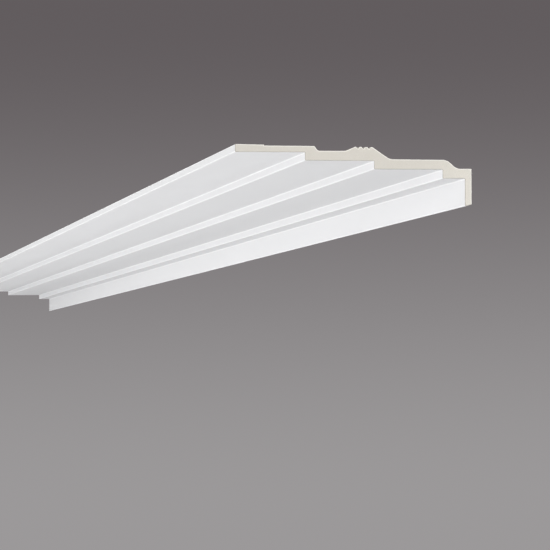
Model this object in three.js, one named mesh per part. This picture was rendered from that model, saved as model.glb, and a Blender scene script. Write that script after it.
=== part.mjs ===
// Stepped ceiling cornice, moulded in hard foam and cut square at both ends.
// Millimetres. X runs along the length, +Y points into the wall and +Z up to the ceiling.
// The origin is the middle of the flat face that is glued to the wall.
import * as THREE from "three";

// Driving dimensions
const length = 3550;
const projection = 250; // how far the cornice reaches over the ceiling
const drop = 60; // how far it comes down the wall
const treadWidth = 73; // each of the three wide soffits
const lipThickness = 7; // the upright leg against the wall
const arrisDepths = [8, 15.5, 23.2, 31.6]; // lower edge of each step, below the ceiling
const treadTilt = THREE.MathUtils.degToRad(0.75); // every soffit climbs a little towards the wall
const lipUndercut = 1.7; // the lip's underside is cut back up to the wall, so that the front edge sits tight

// The back, which is glued on
const ceilingStripWidth = 30;
const rebateDepths = { atStrip: 0.95, atChannel: 0.45 }; // a thin step that leaves room for the adhesive
const channel = { outer: 83, floorStart: 86.4, floorEnd: 116, depth: 5.25, endDepth: 4.85 };
const ribs = { start: 126, end: 144, below: 0.35 };
const grooves = { first: 128.85, pitch: 5.88, width: 4, depth: 2.5, count: 3 }; // V-shaped, between the ribs
const hollow = { floorStart: 162.6, depth: 12.6, floorEnd: 223.7, endDepth: 12.2 };
const wallShelf = { start: 233.9, depth: 21.2, endDepth: 21.05 };

// Corner radii
const arrisRadius = 0.8;
const innerRadius = 0.6; // roots of the risers, and the edges of the back
const channelRadius = 4;
const sweepRadius = 12;
const ribRadius = 0.5;
const arcSegments = 3; // three.js makes twice as many on an arc

// A corner of the section, from its distance to the outer edge and its depth below the ceiling.
const originDepth = (wallShelf.endDepth + drop - lipUndercut) / 2; // middle of the wall face
const corner = (fromOuterEdge, depth, radius = 0) => ({
  at: new THREE.Vector2(fromOuterEdge - projection, originDepth - depth),
  radius,
});

// The visible side: an outer edge, three wide steps, one narrow step and the lip.
function frontCorners() {
  const corners = [corner(0, 0, innerRadius)];
  const stepEdges = arrisDepths.map((depth, i) => ({ from: i * treadWidth, depth }));
  const lipFace = projection - lipThickness;
  stepEdges.forEach(({ from, depth }, i) => {
    const to = i + 1 < stepEdges.length ? stepEdges[i + 1].from : lipFace;
    const rootDepth = depth - (to - from) * Math.tan(treadTilt);
    corners.push(corner(from, depth, arrisRadius), corner(to, rootDepth, innerRadius));
  });
  corners.push(corner(lipFace, drop, arrisRadius), corner(projection, drop - lipUndercut, innerRadius));
  return corners;
}

// The glue ribs and the grooves between them, from the wall side outwards.
function ribCorners() {
  const corners = [corner(ribs.end, ribs.below, ribRadius)];
  for (let i = grooves.count - 1; i >= 0; i--) {
    const middle = grooves.first + i * grooves.pitch;
    corners.push(
      corner(middle + grooves.width / 2, ribs.below, ribRadius),
      corner(middle, ribs.below + grooves.depth, ribRadius),
      corner(middle - grooves.width / 2, ribs.below, ribRadius),
    );
  }
  corners.push(corner(ribs.start, ribs.below, ribRadius));
  return corners;
}

// The back, from the top of the wall face to the ceiling strip.
function backCorners() {
  return [
    corner(projection, wallShelf.endDepth, innerRadius),
    corner(wallShelf.start, wallShelf.depth, sweepRadius),
    corner(hollow.floorEnd, hollow.endDepth, sweepRadius),
    corner(hollow.floorStart, hollow.depth, sweepRadius),
    ...ribCorners(),
    corner(channel.floorEnd, channel.endDepth, innerRadius),
    corner(channel.floorStart, channel.depth, channelRadius),
    corner(channel.outer, rebateDepths.atChannel, innerRadius),
    corner(ceilingStripWidth, rebateDepths.atStrip),
    corner(ceilingStripWidth, 0),
  ];
}

// A closed shape through the corners, each one rounded by an arc that touches both its sides.
function roundedShape(corners) {
  const shape = new THREE.Shape();
  corners.forEach(({ at, radius }, i) => {
    const before = corners.at(i - 1).at;
    const after = corners[(i + 1) % corners.length].at;
    const toBefore = before.clone().sub(at).normalize();
    const toAfter = after.clone().sub(at).normalize();
    const place = i ? "lineTo" : "moveTo";
    if (!radius) {
      shape[place](at.x, at.y);
      return;
    }
    const half = Math.acos(toBefore.dot(toAfter)) / 2;
    const start = at.clone().addScaledVector(toBefore, radius / Math.tan(half));
    const end = at.clone().addScaledVector(toAfter, radius / Math.tan(half));
    const bisector = toBefore.clone().add(toAfter).normalize();
    const centre = at.clone().addScaledVector(bisector, radius / Math.sin(half));
    const turnsRight = toBefore.cross(toAfter) > 0;
    shape[place](start.x, start.y);
    shape.absarc(
      centre.x,
      centre.y,
      radius,
      start.clone().sub(centre).angle(),
      end.clone().sub(centre).angle(),
      turnsRight,
    );
  });
  return shape;
}

const primedFoam = new THREE.MeshStandardMaterial({
  color: new THREE.Color(0.84, 0.84, 0.85),
  roughness: 0.75,
  metalness: 0,
});

function corniceLength() {
  const section = roundedShape([...frontCorners(), ...backCorners()]);
  const geometry = new THREE.ExtrudeGeometry(section, {
    depth: length,
    bevelEnabled: false,
    curveSegments: arcSegments,
  });
  const mesh = new THREE.Mesh(geometry, primedFoam);
  mesh.name = "cornice_length";
  mesh.rotation.set(Math.PI / 2, Math.PI / 2, 0); // the section's x and y become the part's Y and Z
  mesh.position.x = -length / 2;
  return mesh;
}

const cornice = new THREE.Group();
cornice.add(corniceLength());

export default cornice;
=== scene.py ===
# A length of stepped ceiling cornice in hard foam, primed white on the side that shows.
# Metres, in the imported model's frame: X along the length, +Y into the wall, +Z up to the ceiling.
import math

import bpy
from mathutils import Matrix, Vector, noise


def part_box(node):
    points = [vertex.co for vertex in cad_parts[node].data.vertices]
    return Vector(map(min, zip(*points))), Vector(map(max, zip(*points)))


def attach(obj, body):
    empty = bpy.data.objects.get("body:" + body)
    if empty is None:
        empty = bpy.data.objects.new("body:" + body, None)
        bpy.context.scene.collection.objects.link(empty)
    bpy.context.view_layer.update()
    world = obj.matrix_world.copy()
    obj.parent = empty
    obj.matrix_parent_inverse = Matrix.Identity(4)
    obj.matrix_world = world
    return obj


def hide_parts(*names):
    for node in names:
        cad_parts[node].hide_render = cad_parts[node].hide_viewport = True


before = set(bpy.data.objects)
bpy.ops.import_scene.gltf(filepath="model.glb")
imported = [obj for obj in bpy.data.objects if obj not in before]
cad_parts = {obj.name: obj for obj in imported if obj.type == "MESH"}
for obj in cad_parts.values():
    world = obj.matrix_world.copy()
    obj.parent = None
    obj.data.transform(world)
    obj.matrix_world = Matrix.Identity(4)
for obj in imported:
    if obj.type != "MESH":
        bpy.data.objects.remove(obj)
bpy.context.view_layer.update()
cornerLow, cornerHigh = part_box("cornice_length")
mm = 0.001
print("frame loaded")


# Camera: below and in front of the near cut end, looking back along the run
view = {
    "place": (4.391, -0.758, -0.214),
    "turn": 11.865,  # degrees from -X towards +Y
    "pitch": 2.58,  # degrees above level
    "sensor": 36,  # mm
    "lens": 171.7,  # mm
    "reach": 200,  # metres, past the edge of the floor
}


def makeCamera():
    data = bpy.data.cameras.new("camera")
    data.sensor_width = view["sensor"]
    data.lens = view["lens"]
    data.clip_end = view["reach"]
    camera = bpy.data.objects.new("camera", data)
    bpy.context.scene.collection.objects.link(camera)
    turn = math.radians(view["turn"])
    pitch = math.radians(view["pitch"])
    level = Vector((-math.cos(turn), math.sin(turn), 0))
    ahead = level * math.cos(pitch) + Vector((0, 0, math.sin(pitch)))
    camera.location = view["place"]
    camera.rotation_euler = ahead.to_track_quat("-Z", "Y").to_euler()
    bpy.context.scene.camera = camera


makeCamera()
print("camera set")


# Shader maths: a socket with Python's operators, and one method for every other node
class Signal:
    def __init__(self, nodes, socket):
        self.nodes = nodes
        self.socket = socket

    def maths(self, operation, first, second):
        return self.nodes.node("ShaderNodeMath", {"operation": operation}, {0: first, 1: second})

    def __add__(self, other):
        return self.maths("ADD", self, other)

    def __sub__(self, other):
        return self.maths("SUBTRACT", self, other)

    def __rsub__(self, other):
        return self.maths("SUBTRACT", other, self)

    def __mul__(self, other):
        return self.maths("MULTIPLY", self, other)

    __radd__ = __add__
    __rmul__ = __mul__


class Nodes:
    def __init__(self, tree):
        self.tree = tree

    def feed(self, socket, value):
        if isinstance(value, Signal):
            self.tree.links.new(value.socket, socket)
        else:
            socket.default_value = value

    def node(self, kind, settings, inputs, output=0):
        made = self.tree.nodes.new(kind)
        for name, value in settings.items():
            setattr(made, name, value)
        for socket, value in inputs.items():
            self.feed(made.inputs[socket], value)
        return Signal(self, made.outputs[output])

    def place(self, stretch=(1, 1, 1)):  # the point on the piece, in metres, squeezed by stretch
        point = self.node("ShaderNodeTexCoord", {}, {}, "Object")
        return self.node("ShaderNodeVectorMath", {"operation": "MULTIPLY"}, {0: point, 1: stretch})

    def cloud(self, size, detail=2, stretch=(1, 1, 1)):  # noise from 0 to 1, its patches about size across
        inputs = {"Vector": self.place(stretch), "Scale": 1 / size, "Detail": detail}
        return self.node("ShaderNodeTexNoise", {}, inputs)

    def cells(self, size):  # distance to the middle of the nearest cell, 0 to about 1
        inputs = {"Vector": self.place(), "Scale": 1 / size}
        return self.node("ShaderNodeTexVoronoi", {}, inputs, "Distance")

    def carried(self, name):  # a value carried by the mesh
        return self.node("ShaderNodeAttribute", {"attribute_name": name}, {}, "Fac")

    def fade(self, value, start, end):  # 0 at start, 1 at end, soft at both
        inputs = {"Value": value, "From Min": start, "From Max": end}
        return self.node("ShaderNodeMapRange", {"interpolation_type": "SMOOTHSTEP"}, inputs)

    def mix(self, share, first, second):
        return self.node("ShaderNodeMix", {"data_type": "RGBA"}, {0: share, 6: first, 7: second}, 2)

    def bump(self, height, depth):
        return self.node("ShaderNodeBump", {}, {"Distance": depth, "Height": height})


def newFinish(name, fixed):
    material = bpy.data.materials.new(name)
    material.use_nodes = True
    nodes = Nodes(material.node_tree)
    shader = material.node_tree.nodes["Principled BSDF"]
    for socket, value in fixed.items():
        shader.inputs[socket].default_value = value
    return material, nodes, shader.inputs


def rgb(red, green, blue):
    return (red, green, blue, 1)


# White primer, sprayed on the side that shows
primer = {
    "white": rgb(0.865, 0.865, 0.872),
    "thin": rgb(0.835, 0.835, 0.84),
    "painted_shade_tone": rgb(0.765, 0.765, 0.77),  # painted shade: the darkest tone, on the faces that sit most in shade
    # painted highlight: the rounded arrises and inner corners of the primed side made lighter
    "edge": rgb(0.94, 0.94, 0.945),
    "patch": {"size": 60 * mm, "stretch": (0.25, 1, 1), "fade": (0.35, 0.65), "share": 0.5},
    "roughness": {"least": 0.62, "more": 0.12, "size": 8 * mm},
    "grain": {"size": 1.1 * mm, "depth": 0.03 * mm},
    "specular": 0.4,
}


def primerFinish():
    material, nodes, shader = newFinish("white_primer", {"Specular IOR Level": primer["specular"]})
    patch, roughness, grain = primer["patch"], primer["roughness"], primer["grain"]
    patches = nodes.fade(nodes.cloud(patch["size"], 4, patch["stretch"]), *patch["fade"])
    coat = nodes.mix(patches * patch["share"], primer["white"], primer["thin"])
    # painted shade: each primed face darkened by the share it carries
    coat = nodes.mix(nodes.carried("painted_shade"), coat, primer["painted_shade_tone"])
    # painted highlight on the arcs of the primed side
    nodes.feed(shader["Base Color"], nodes.mix(nodes.carried("edge"), coat, primer["edge"]))
    nodes.feed(shader["Roughness"], roughness["least"] + roughness["more"] * nodes.cloud(roughness["size"]))
    nodes.feed(shader["Normal"], nodes.bump(nodes.cloud(grain["size"], 3), grain["depth"]))
    return material


# Sawn hard foam at the two cut ends
sawnFoam = {
    "core": rgb(0.70, 0.668, 0.607),
    "lip": rgb(0.80, 0.77, 0.695),  # paler towards the wall
    "lipReach": 60 * mm,
    "cell": rgb(0.60, 0.568, 0.51),
    "cells": {"size": 0.7 * mm, "fade": (0.2, 0.7), "share": 0.35, "relief": 0.6},
    "mottle": {"size": 9 * mm, "share": 0.25},
    "skin": rgb(0.86, 0.84, 0.78),  # the moulded skin, where the saw went through it: real skin, lightened into a painted highlight along the back's outline
    "skinFade": (0.55, 1),  # mm inside the outline
    "rim": rgb(0.42, 0.395, 0.355),  # painted shade: a dark line where the cut meets the primed faces
    "shadeLineFade": (0.25, 0.85),  # mm inside the outline
    "sawMarks": {"size": 5 * mm, "stretch": (1, 0.15, 3)},
    "reliefDepth": 0.15 * mm,
    "roughness": 0.9,
    "specular": 0.25,
}


def sawnFoamFinish():
    fixed = {"Specular IOR Level": sawnFoam["specular"], "Roughness": sawnFoam["roughness"]}
    material, nodes, shader = newFinish("sawn_foam", fixed)
    cell, mottle, sawMarks = sawnFoam["cells"], sawnFoam["mottle"], sawnFoam["sawMarks"]
    fromWall = nodes.node("ShaderNodeSeparateXYZ", {}, {0: nodes.place()}, "Y")
    towardsWall = nodes.fade(fromWall, -sawnFoam["lipReach"], 0)
    core = nodes.mix(towardsWall, sawnFoam["core"], sawnFoam["lip"])
    cells = nodes.fade(nodes.cells(cell["size"]), *cell["fade"])
    mottled = cells * cell["share"] + nodes.cloud(mottle["size"], 4) * mottle["share"]
    core = nodes.mix(mottled, core, sawnFoam["cell"])
    depth = nodes.carried("rimDepth")
    primed = nodes.carried("primed")
    # a band along the unprimed outline: moulded skin, lightened as a painted highlight
    skin = (1 - nodes.fade(depth, *sawnFoam["skinFade"])) * (1 - primed)
    # painted shade along the cut's edge with the primed faces
    rim = (1 - nodes.fade(depth, *sawnFoam["shadeLineFade"])) * primed
    color = nodes.mix(skin, core, sawnFoam["skin"])
    nodes.feed(shader["Base Color"], nodes.mix(rim, color, sawnFoam["rim"]))
    relief = cells * cell["relief"] + nodes.cloud(sawMarks["size"], 3, sawMarks["stretch"])
    nodes.feed(shader["Normal"], nodes.bump(relief, sawnFoam["reliefDepth"]))
    return material


# Moulded skin of the back, bare foam with primer mist along its edges
mouldedBack = {
    "cream": rgb(0.70, 0.665, 0.575),
    "pale": rgb(0.78, 0.75, 0.67),
    "flow": {"size": 22 * mm, "stretch": (0.12, 1, 1), "fade": (0.35, 0.68), "share": 0.7},
    "blotch": {"size": 110 * mm, "fade": (0.4, 0.65), "share": 0.3},
    # the bubble pits are real; their dark colour is painted shade inside them
    "pit": rgb(0.38, 0.34, 0.27),
    "pits": {"spacing": 16 * mm, "fade": (0.035, 0.07)},
    "mist": rgb(0.80, 0.80, 0.79),
    "mistFade": (3 * mm, 14 * mm),  # from the primer's edge
    "mistShare": 0.9,
    "ragged": {"size": 12 * mm, "reach": 8 * mm},  # the edge of the mist
    "roughness": {"least": 0.5, "flow": 0.25, "mist": 0.1},
    "lumps": {"size": 4 * mm, "share": 0.3},
    "reliefDepth": 0.4 * mm,
    "specular": 0.4,
}


def mouldedBackFinish():
    material, nodes, shader = newFinish("moulded_back", {"Specular IOR Level": mouldedBack["specular"]})
    flow, blotch, pit = mouldedBack["flow"], mouldedBack["blotch"], mouldedBack["pits"]
    ragged, lumps, roughness = mouldedBack["ragged"], mouldedBack["lumps"], mouldedBack["roughness"]
    streaks = nodes.fade(nodes.cloud(flow["size"], 5, flow["stretch"]), *flow["fade"])
    blotches = nodes.fade(nodes.cloud(blotch["size"], 3), *blotch["fade"])
    pale = streaks * flow["share"] + blotches * blotch["share"]
    skin = nodes.mix(pale, mouldedBack["cream"], mouldedBack["pale"])
    pits = 1 - nodes.fade(nodes.cells(pit["spacing"]), *pit["fade"])
    fromPrimer = nodes.carried("fromPrimer") + ragged["reach"] * nodes.cloud(ragged["size"], 4)
    mist = 1 - nodes.fade(fromPrimer, *mouldedBack["mistFade"])
    skin = nodes.mix(mist * mouldedBack["mistShare"], skin, mouldedBack["mist"])
    nodes.feed(shader["Base Color"], nodes.mix(pits, skin, mouldedBack["pit"]))
    rough = roughness["least"] + roughness["flow"] * streaks + roughness["mist"] * mist
    nodes.feed(shader["Roughness"], rough)
    relief = lumps["share"] * nodes.cloud(lumps["size"], 3) - pits
    nodes.feed(shader["Normal"], nodes.bump(relief, mouldedBack["reliefDepth"]))
    return material


# The cornice. Its section is in millimetres: distance from the outer edge, and depth below the ceiling
cornice = {
    "drop": 60,
    "treadWidth": 73,
    "lipThickness": 7,
    "arrisDepths": (8, 15.5, 23.2, 31.6),
    "treadTilt": 0.75,  # degrees
    "lipUndercut": 1.7,
    "ceilingStrip": 30,
    "rebate": {"atStrip": 0.95, "atChannel": 0.45},
    "channel": {"outer": 83, "floorStart": 86.4, "floorEnd": 116, "depth": 5.25, "endDepth": 4.85},
    "ribs": {"start": 126, "end": 144, "below": 0.35},
    "grooves": {"first": 128.85, "pitch": 5.88, "width": 4, "depth": 2.5, "count": 3},
    "hollow": {"floorStart": 162.6, "depth": 12.6, "floorEnd": 223.7, "endDepth": 12.2},
    "wallShelf": {"start": 233.9, "depth": 21.2, "endDepth": 21.05},
    "radius": {"arris": 0.8, "inner": 0.6, "channel": 4, "sweep": 12, "rib": 0.5},
    "leastRadius": 0.05,  # of an arc in the rows inside the outline
    # painted shade on each face, from the outer face over every soffit and riser to the lip's foot: the
    # soffits darker towards the wall, the narrow one darkest
    "painted_shade": (0.75, 0, 0.6, 0.42, 0.35, 0.62, 0.2, 0.97, 0.35, 0.35),
    "arcSteps": 8,
    "support": 0.6,  # points this close to an arc keep the flats flat
    "shortFlat": 3,  # a flat this short needs none
    "stations": 72,  # rows along the run
    "rimDepths": (0.3, 0.65, 1),  # rows on the cut face, inside its outline
    "sink": 0.25,  # how far the moulded back sinks in places
    "sinkPatches": (5, 40),  # to a metre, along the run and across it
    "sharpAngle": 25,  # degrees
}
projection = (cornerHigh.y - cornerLow.y) / mm


def frontCorners():
    inner = cornice["radius"]["inner"]
    arris = cornice["radius"]["arris"]
    lipFace = projection - cornice["lipThickness"]
    rise = math.tan(math.radians(cornice["treadTilt"]))
    starts = [i * cornice["treadWidth"] for i in range(len(cornice["arrisDepths"]))] + [lipFace]
    corners = [(0, 0, inner)]
    for start, end, depth in zip(starts, starts[1:], cornice["arrisDepths"]):
        corners.append((start, depth, arris))
        corners.append((end, depth - (end - start) * rise, inner))
    corners.append((lipFace, cornice["drop"], arris))
    corners.append((projection, cornice["drop"] - cornice["lipUndercut"], inner))
    return corners


def ribCorners():
    ribs, grooves = cornice["ribs"], cornice["grooves"]
    radius = cornice["radius"]["rib"]
    below = ribs["below"]
    corners = [(ribs["end"], below, radius)]
    for i in reversed(range(grooves["count"])):
        middle = grooves["first"] + i * grooves["pitch"]
        corners.append((middle + grooves["width"] / 2, below, radius))
        corners.append((middle, below + grooves["depth"], radius))
        corners.append((middle - grooves["width"] / 2, below, radius))
    return corners + [(ribs["start"], below, radius)]


def backCorners():
    shelf, hollow, channel = cornice["wallShelf"], cornice["hollow"], cornice["channel"]
    radius = cornice["radius"]
    strip = cornice["ceilingStrip"]
    return [
        (projection, shelf["endDepth"], radius["inner"]),
        (shelf["start"], shelf["depth"], radius["sweep"]),
        (hollow["floorEnd"], hollow["endDepth"], radius["sweep"]),
        (hollow["floorStart"], hollow["depth"], radius["sweep"]),
        *ribCorners(),
        (channel["floorEnd"], channel["endDepth"], radius["inner"]),
        (channel["floorStart"], channel["depth"], radius["channel"]),
        (channel["outer"], cornice["rebate"]["atChannel"], radius["inner"]),
        (strip, cornice["rebate"]["atStrip"], 0),
        (strip, 0, 0),
    ]


def cornerArc(corners, i, inset):  # points round corner i, with the whole outline moved inwards by inset
    neighbours = (corners[i - 1], corners[i], corners[(i + 1) % len(corners)])
    before, at, after = (Vector((corner[0], -corner[1])) for corner in neighbours)
    radius = corners[i][2]
    arriving = (at - before).normalized()
    leaving = (after - at).normalized()
    inwards = [Vector((-side.y, side.x)) for side in (arriving, leaving)]
    # the corner slides along its bisector until both its sides have moved by inset
    at = at + (inwards[0] + inwards[1]) * (inset / (1 + inwards[0].dot(inwards[1])))
    if not radius:
        return [at]
    turn = math.atan2(arriving.cross(leaving), arriving.dot(leaving))
    bend = math.copysign(1, turn)
    radius = max(radius - bend * inset, cornice["leastRadius"])
    start = at - arriving * radius * math.tan(abs(turn) / 2)
    centre = start + inwards[0] * bend * radius
    spoke = start - centre
    angles = [turn * step / cornice["arcSteps"] for step in range(cornice["arcSteps"] + 1)]
    return [centre + Matrix.Rotation(angle, 2) @ spoke for angle in angles]


def supportShares(arc, following):  # where points hold the flat between two arcs, as shares of its length
    flat = (following[0] - arc[-1]).length
    share = cornice["support"] / flat
    return (share, 1 - share) if flat > cornice["shortFlat"] else ()


def joinArcs(arcs, supports):
    outline = []
    for i, arc in enumerate(arcs):
        following = arcs[(i + 1) % len(arcs)]
        outline += arc
        outline += [arc[-1].lerp(following[0], share) for share in supports[i]]
    return outline


def sectionOutlines():  # the outline, the rows inside it, and the marks that each of their points carries
    front = frontCorners()
    corners = front + backCorners()
    arcs = [cornerArc(corners, i, 0) for i in range(len(corners))]
    supports = [supportShares(arc, following) for arc, following in zip(arcs, arcs[1:] + arcs[:1])]
    marks = []
    for i, arc in enumerate(arcs):
        onFront = i < len(front)
        sinks = len(front) < i < len(corners) - 2  # from the wall face to the ceiling strip
        painted_shade = cornice["painted_shade"][i] if i < len(cornice["painted_shade"]) else 0
        onArc = {"primed": onFront, "edge": onFront, "painted_shade": 0, "sinks": sinks}
        onFlat = {"primed": i < len(front) - 1, "edge": 0, "painted_shade": painted_shade, "sinks": sinks}
        marks += [onArc] * len(arc) + [onFlat] * len(supports[i])
    outlines = [joinArcs(arcs, supports)]
    for inset in cornice["rimDepths"]:
        outlines.append(joinArcs([cornerArc(corners, i, inset) for i in range(len(corners))], supports))
    return outlines, marks


def distanceFromPrimer(outline, marks):  # along the outline, in metres
    count = len(outline)
    distances = [0 if mark["primed"] else math.inf for mark in marks]
    for step in (1, -1):  # once round the section each way
        for i in range(count)[::step]:
            before = (i - step) % count
            gap = (outline[i] - outline[before]).length * mm
            distances[i] = min(distances[i], distances[before] + gap)
    return distances


def sunk(x, y, z):  # how far the moulded back has sunk at a point
    along, across = cornice["sinkPatches"]
    share = 0.5 + 0.5 * noise.noise(Vector((x * along, y * across, z * across)))
    return cornice["sink"] * mm * share


class Shell:  # the mesh, while its rows of points are made and joined
    def __init__(self, marks, fromPrimer):
        self.marks = marks
        self.fromPrimer = fromPrimer
        self.vertices = []
        self.faces = []
        self.finishes = []
        self.carried = {"primed": [], "edge": [], "painted_shade": [], "rimDepth": [], "fromPrimer": []}

    def addRow(self, outline, x, rimDepth=0, sinking=False):  # gives the row's first vertex
        first = len(self.vertices)
        for point, mark, fromPrimer in zip(outline, self.marks, self.fromPrimer):
            y = cornerLow.y + point.x * mm
            z = cornerHigh.z + point.y * mm
            if sinking and mark["sinks"]:
                z -= sunk(x, y, z)
            self.vertices.append((x, y, z))
            values = {**mark, "rimDepth": rimDepth, "fromPrimer": fromPrimer}
            for name, row in self.carried.items():
                row.append(float(values[name]))
        return first

    def joinRows(self, first, second, finish=None):  # with no finish named, the marks tell front from back
        count = len(self.marks)
        for i in range(count):
            j = (i + 1) % count
            onFront = self.marks[i]["primed"] and self.marks[j]["primed"]
            self.faces.append((first + i, first + j, second + j, second + i))
            self.finishes.append(finish or ("primer" if onFront else "back"))

    def fillRow(self, first, finish, flipped):
        row = list(range(first, first + len(self.marks)))
        self.faces.append(row[::-1] if flipped else row)
        self.finishes.append(finish)


def corniceShell():
    outlines, marks = sectionOutlines()
    outline, rims = outlines[0], outlines[1:]
    shell = Shell(marks, distanceFromPrimer(outline, marks))
    stations = cornice["stations"]
    rows = []
    for station in range(stations + 1):
        x = cornerLow.x + (cornerHigh.x - cornerLow.x) * station / stations
        rows.append(shell.addRow(outline, x, sinking=0 < station < stations))
    for row, following in zip(rows, rows[1:]):
        shell.joinRows(row, following)
    for x, edge, flipped in ((cornerLow.x, rows[0], True), (cornerHigh.x, rows[-1], False)):
        for rim, depth in zip(rims, cornice["rimDepths"]):
            row = shell.addRow(rim, x, rimDepth=depth)
            joined = (row, edge) if flipped else (edge, row)
            shell.joinRows(*joined, "cut")
            edge = row
        shell.fillRow(edge, "cut", flipped)
    return shell


def makeCornice():
    shell = corniceShell()
    finishes = {"primer": primerFinish(), "back": mouldedBackFinish(), "cut": sawnFoamFinish()}
    slots = list(finishes)
    mesh = bpy.data.meshes.new("cornice")
    mesh.from_pydata(shell.vertices, [], shell.faces)
    for material in finishes.values():
        mesh.materials.append(material)
    mesh.polygons.foreach_set("material_index", [slots.index(name) for name in shell.finishes])
    for name, values in shell.carried.items():
        mesh.attributes.new(name, "FLOAT", "POINT").data.foreach_set("value", values)
    mesh.validate()
    mesh.shade_smooth()
    mesh.set_sharp_from_angle(angle=math.radians(cornice["sharpAngle"]))
    piece = bpy.data.objects.new("cornice", mesh)
    bpy.context.scene.collection.objects.link(piece)
    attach(piece, "root")
    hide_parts("cornice_length")


makeCornice()
print("cornice made")


# Studio: a pale floor that fades out into a plain grey backdrop
studio = {
    "floorDrop": 2.6,
    "floorRadius": 26,
    "floorSides": 96,
    "floorFade": (12, 24),  # metres from the middle
    "floorColor": rgb(0.74, 0.74, 0.75),
    "floorRoughness": 0.9,
    "backdropLow": rgb(0.33, 0.318, 0.322),
    "backdropHigh": rgb(0.122, 0.108, 0.113),
    "backdropFade": (-0.045, 0.145),  # how steeply the eye looks up, as a sine
    "ambient": rgb(0.43, 0.43, 0.43),
}


def makeFloor():
    bpy.ops.mesh.primitive_circle_add(
        vertices=studio["floorSides"],
        radius=studio["floorRadius"],
        fill_type="NGON",
        location=(0, 0, -studio["floorDrop"]),
    )
    floor = bpy.context.object
    floor.name = "floor"
    fixed = {"Base Color": studio["floorColor"], "Roughness": studio["floorRoughness"]}
    material, nodes, shader = newFinish("pale_floor", fixed)
    distance = nodes.node("ShaderNodeVectorMath", {"operation": "LENGTH"}, {0: nodes.place()}, "Value")
    nodes.feed(shader["Alpha"], 1 - nodes.fade(distance, *studio["floorFade"]))
    floor.data.materials.append(material)


def makeBackdrop():
    world = bpy.data.worlds.new("studio")
    bpy.context.scene.world = world
    world.use_nodes = True
    nodes = Nodes(world.node_tree)
    direction = nodes.node("ShaderNodeTexCoord", {}, {}, "Generated")
    height = nodes.node("ShaderNodeSeparateXYZ", {}, {0: direction}, "Z")
    share = nodes.fade(height, *studio["backdropFade"])
    color = nodes.mix(share, studio["backdropLow"], studio["backdropHigh"])
    seen = nodes.node("ShaderNodeLightPath", {}, {}, "Is Camera Ray")
    background = world.node_tree.nodes["Background"]
    nodes.feed(background.inputs["Color"], nodes.mix(seen, studio["ambient"], color))


# Soft lights: places and sizes in metres, power in watts, spread in degrees
lights = {
    "room_side": {
        "place": (0, -6, -0.4),
        "target": (0, 0, -0.1),
        "size": (4, 3),
        "power": 17.5,
        "spread": 70,
    },
    "wall_side": {
        "place": (-1, 3.5, -1.3),
        "target": (-0.5, 0, 0),
        "size": (4, 1.4),
        "power": 9.4,
        "spread": 70,
    },
    "wall_side_near": {
        "place": (4.5, 2, -1.5),
        "target": (1.2, 0, 0),
        "size": (2, 1.4),
        "power": 23,
    },
    "near_end": {
        "place": (7, -1.5, 0.2),
        "target": (1.7, 0, 0),
        "size": (3, 2),
        "power": 20.5,
        "spread": 60,
    },
    "from_below": {
        "place": (1.5, -3.5, -2.5),
        "target": (1.5, -3.5, 0),
        "size": (4, 2),
        "power": 109,
    },
    "over_wall_side": {
        "place": (0, 3.5, 3),
        "target": (0, 0, 0),
        "size": (5, 2.5),
        "power": 160,
    },
    "over_room_side": {
        "place": (0, -3, 3.5),
        "target": (0, 0, 0),
        "size": (5, 2),
        "power": 30,
    },
}


def softLight(name, place, target, size, power, spread=180):
    data = bpy.data.lights.new(name, "AREA")
    data.shape = "RECTANGLE"
    data.size, data.size_y = size
    data.energy = power
    data.spread = math.radians(spread)
    light = bpy.data.objects.new(name, data)
    bpy.context.scene.collection.objects.link(light)
    light.location = place
    light.rotation_euler = (Vector(target) - Vector(place)).to_track_quat("-Z", "Y").to_euler()
    light.visible_camera = False


makeFloor()
makeBackdrop()
for lightName, light in lights.items():
    softLight(lightName, **light)
bpy.context.scene.view_settings.view_transform = "Standard"
print("studio set")
